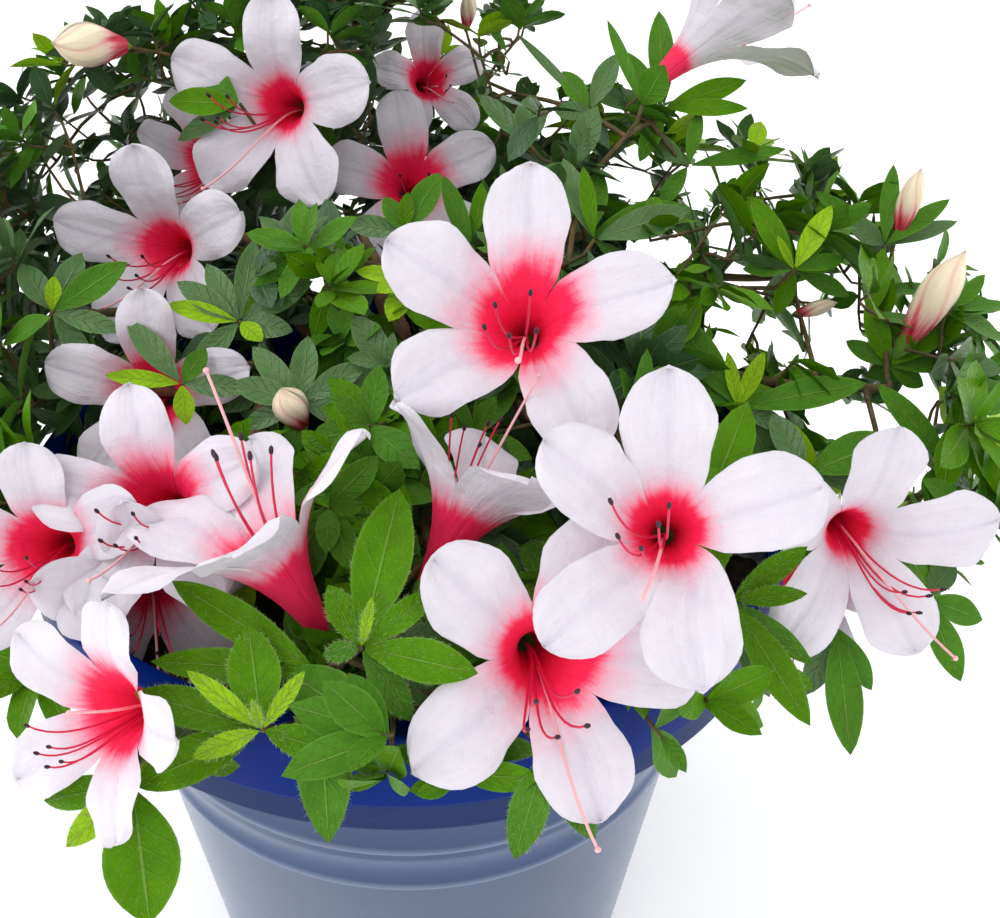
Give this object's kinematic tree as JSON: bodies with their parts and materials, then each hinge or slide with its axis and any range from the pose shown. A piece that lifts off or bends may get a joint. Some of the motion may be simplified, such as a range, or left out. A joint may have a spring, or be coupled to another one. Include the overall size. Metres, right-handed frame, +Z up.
{
  "type": "potted azalea shrub in flower",
  "caption": "Low, wide azalea shrub in flower, standing in a tapered plastic pot with a deep collar.",
  "frame": {"origin": "middle of the pot's flat underside, on the ground", "axes": "+Z up along the pot's axis, -Y towards the side that faces the picture's eye, +X to its right"},
  "size_m": [0.335, 0.3148, 0.285],
  "materials": {
    "pot_plastic": "glossy blue plastic, darker on the collar, pale on the raised rings",
    "soil": "dark peat crumbs, matt",
    "bark": "fine rough brown bark",
    "foliage": "green leaves, with white flowers that are crimson in the throat"
  },
  "bodies": {
    "root": {"pot": "pot_plastic", "soil": "soil", "trunk": "bark", "bough_1": "bark", "bough_2": "bark", "bough_3": "bark", "bough_4": "bark", "bough_5": "bark", "leader": "bark", "branch_1": "bark", "branch_2": "bark", "branch_3": "bark", "branch_4": "bark", "branch_5": "bark", "branch_6": "bark", "branch_7": "bark", "branch_8": "bark", "branch_9": "bark", "branch_10": "bark", "foliage_skirt_1": "foliage", "foliage_skirt_2": "foliage", "foliage_skirt_3": "foliage", "foliage_skirt_4": "foliage", "foliage_skirt_5": "foliage", "foliage_skirt_6": "foliage", "foliage_skirt_7": "foliage", "foliage_skirt_8": "foliage", "foliage_skirt_9": "foliage", "foliage_skirt_10": "foliage", "foliage_shoulder_1": "foliage", "foliage_shoulder_2": "foliage", "foliage_shoulder_3": "foliage", "foliage_shoulder_4": "foliage", "foliage_shoulder_5": "foliage", "foliage_crest_1": "foliage", "foliage_crest_2": "foliage", "foliage_crest_3": "foliage", "foliage_crest_4": "foliage"}
  },
  "joints": []
}
